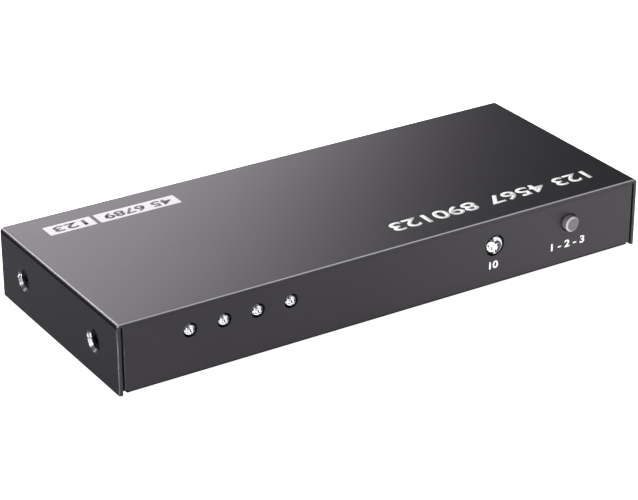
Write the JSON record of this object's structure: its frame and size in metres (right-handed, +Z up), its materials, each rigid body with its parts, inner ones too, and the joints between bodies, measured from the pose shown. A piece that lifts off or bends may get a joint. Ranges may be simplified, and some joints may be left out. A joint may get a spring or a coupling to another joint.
{
  "type": "video switch box",
  "caption": "Flat dark grey sheet metal box that switches video sources to one screen, with indicator lamps, an infrared eye and a push button on the front and sockets at the rear.",
  "frame": {"origin": "on the floor under the middle of the whole box, button and sockets included", "axes": "+X to the right along the front panel, +Y from the front panel to the socket panel, +Z up"},
  "size_m": [0.155, 0.0652, 0.0205],
  "materials": {
    "case_powder_coat": "fine satin dark grey powder coat on sheet steel",
    "black_screw_steel": "black zinc plated steel",
    "foot_rubber": "moulded black rubber",
    "zinc_plated_steel": "bright zinc plate",
    "board_laminate": "green solder mask on glass epoxy",
    "moulded_epoxy": "black moulded epoxy",
    "tinned_copper": "tin plated copper",
    "ferrite": "dark grey sintered ferrite",
    "can_aluminium": "drawn aluminium",
    "nickel_plated_steel": "nickel plate",
    "capacitor_ceramic": "tan ceramic with tinned ends",
    "clear_epoxy": "water clear cast epoxy",
    "clear_eye_plastic": "clear moulded plastic, polished",
    "dark_receiver_epoxy": "dark infrared-passing epoxy",
    "button_plastic": "mid grey moulded plastic",
    "black_nylon": "black moulded nylon",
    "jack_plastic": "black moulded plastic",
    "socket_shell_steel": "nickel plated drawn steel",
    "socket_plastic": "black moulded liquid crystal polymer",
    "gold_plated_contact": "gold flash over nickel"
  },
  "bodies": {
    "housing": {"top_cover": "case_powder_coat", "base_tray": "case_powder_coat", "cover_screws": "black_screw_steel", "rubber_feet": "foot_rubber", "board_standoffs": "zinc_plated_steel", "board_screws": "zinc_plated_steel", "circuit_board": "board_laminate", "switch_chip": "moulded_epoxy", "microcontroller": "moulded_epoxy", "microcontroller_legs": "tinned_copper", "voltage_regulator": "moulded_epoxy", "voltage_regulator_legs": "tinned_copper", "power_inductor": "ferrite", "electrolytic_capacitors": "can_aluminium", "crystal": "nickel_plated_steel", "ceramic_capacitors": "capacitor_ceramic", "power_lamp": "clear_epoxy", "input_1_lamp": "clear_epoxy", "input_2_lamp": "clear_epoxy", "input_3_lamp": "clear_epoxy", "lamp_legs": "tinned_copper", "infrared_eye": "clear_eye_plastic", "infrared_receiver": "dark_receiver_epoxy", "receiver_legs": "tinned_copper", "tact_switch_body": "black_nylon", "tact_switch_plate": "nickel_plated_steel", "tact_switch_dome": "nickel_plated_steel", "tact_switch_legs": "tinned_copper", "power_jack_housing": "jack_plastic", "power_jack_pin": "nickel_plated_steel", "power_jack_leaf": "nickel_plated_steel", "video_output_shell": "socket_shell_steel", "video_output_tongue": "socket_plastic", "video_output_contacts": "gold_plated_contact", "video_input_1_shell": "socket_shell_steel", "video_input_1_tongue": "socket_plastic", "video_input_1_contacts": "gold_plated_contact", "video_input_2_shell": "socket_shell_steel", "video_input_2_tongue": "socket_plastic", "video_input_2_contacts": "gold_plated_contact", "video_input_3_shell": "socket_shell_steel", "video_input_3_tongue": "socket_plastic", "video_input_3_contacts": "gold_plated_contact"},
    "switch_button": {"button_cap": "button_plastic", "switch_stem": "black_nylon"}
  },
  "joints": [
    {"name": "button_press", "type": "slide", "parent": "housing", "child": "switch_button", "axis": [0, 1, 0], "range_m": [0, 0.0003], "stiffness_N_per_m": 5000, "deforming": ["tact_switch_dome"]}
  ]
}
